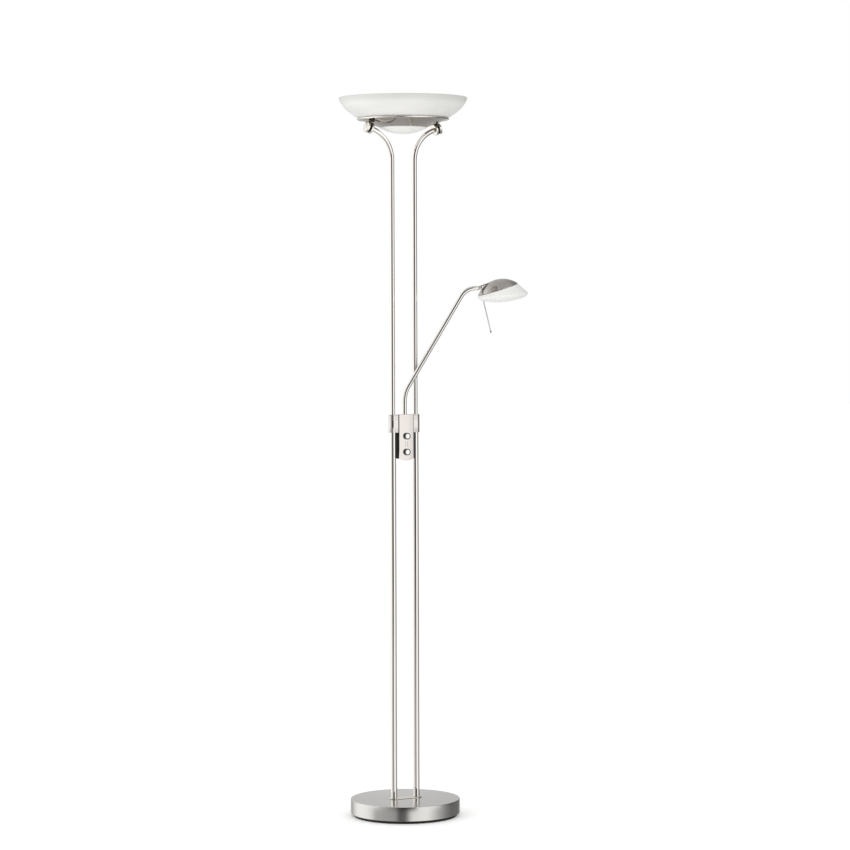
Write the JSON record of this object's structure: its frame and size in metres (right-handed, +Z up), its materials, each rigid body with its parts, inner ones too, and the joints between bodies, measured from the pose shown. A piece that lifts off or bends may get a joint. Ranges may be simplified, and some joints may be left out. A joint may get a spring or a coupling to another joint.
{
  "type": "torchiere floor lamp",
  "caption": "Twin-pole uplighter floor lamp with a white glass bowl on a round weighted base, a knob-controlled switch box and a swivelling reading arm with a tilting glass-shaded head.",
  "frame": {"origin": "centre of the underside of the base pad, on the floor", "axes": "+Z up, along the poles; +X from the left pole to the right pole; -Y out of the front of the switch box"},
  "size_m": [0.4691, 0.324, 1.812],
  "materials": {
    "satin_nickel": "satin nickel plate, finely brushed",
    "chrome": "bright chrome plate",
    "cast_iron": "rough casting, dark primer",
    "zinc_steel": "zinc-plated steel",
    "brass": "turned brass",
    "aluminium": "bright anodised",
    "black_plastic": "fine-textured black moulding",
    "black_rubber": "matt black rubber",
    "white_glass": "satin white opal glass",
    "clear_glass": "clear, polished",
    "ceramic": "unglazed steatite"
  },
  "bodies": {
    "stand": {"base_cover": "satin_nickel", "base_weight": "cast_iron", "base_pad": "black_rubber", "cord_gland": "black_rubber", "pole_foot_plate": "satin_nickel", "pole_stud_left": "zinc_steel", "pole_nut_left": "zinc_steel", "pole_lower_left": "satin_nickel", "pole_upper_left": "satin_nickel", "pole_coupler_left": "brass", "clamp_collar_left": "satin_nickel", "clamp_washer_left": "black_rubber", "clamp_nut_left": "satin_nickel", "clamp_screw_left": "zinc_steel", "uplight_holder_left": "ceramic", "guard_clip_left": "zinc_steel", "pole_stud_right": "zinc_steel", "pole_nut_right": "zinc_steel", "pole_lower_right": "satin_nickel", "pole_upper_right": "satin_nickel", "pole_coupler_right": "brass", "clamp_collar_right": "satin_nickel", "clamp_washer_right": "black_rubber", "clamp_nut_right": "satin_nickel", "clamp_screw_right": "zinc_steel", "uplight_holder_right": "ceramic", "guard_clip_right": "zinc_steel", "bowl_glass": "white_glass", "bowl_ring": "satin_nickel", "lower_glass": "white_glass", "lamp_bridge": "zinc_steel", "lamp_reflector": "aluminium", "linear_lamp": "clear_glass", "guard_glass": "clear_glass", "box_band": "satin_nickel", "box_core": "black_plastic", "box_top_cap": "satin_nickel", "arm_bush": "brass", "front_plate": "satin_nickel", "dimmer_housing": "black_plastic", "housing_cover": "black_plastic", "dimmer_uplight": "black_plastic", "dimmer_reading": "black_plastic"},
    "arm": {"reading_arm": "satin_nickel", "arm_stem": "zinc_steel", "arm_tongue": "satin_nickel"},
    "head": {"head_bracket": "satin_nickel", "head_pivot_pin": "chrome", "head_cap": "satin_nickel", "head_reflector": "aluminium", "head_lampholder": "ceramic", "head_lamp": "clear_glass", "head_glass": "white_glass", "glass_clip_1": "zinc_steel", "glass_clip_2": "zinc_steel", "glass_clip_3": "zinc_steel", "handle_rod": "chrome", "handle_tip": "satin_nickel"},
    "uplight_dial": {"knob_uplight": "chrome"},
    "reading_dial": {"knob_reading": "chrome"}
  },
  "joints": [
    {"name": "arm_swivel", "type": "hinge", "parent": "stand", "child": "arm", "pos_m": [0, -0.0038, 1.0166], "axis": [0, 0, 1], "range_deg": [-146, 1.5]},
    {"name": "head_tilt", "type": "hinge", "parent": "arm", "child": "head", "pos_m": [0.19031, -0.06198, 1.336], "axis": [0.2924, 0.9563, 0], "range_deg": [-60, 25]},
    {"name": "uplight_dimmer", "type": "hinge", "parent": "stand", "child": "uplight_dial", "pos_m": [0, -0.015, 0.962], "axis": [0, -1, 0], "range_deg": [0, 270]},
    {"name": "reading_dimmer", "type": "hinge", "parent": "stand", "child": "reading_dial", "pos_m": [0, -0.015, 0.922], "axis": [0, -1, 0], "range_deg": [0, 270]}
  ]
}
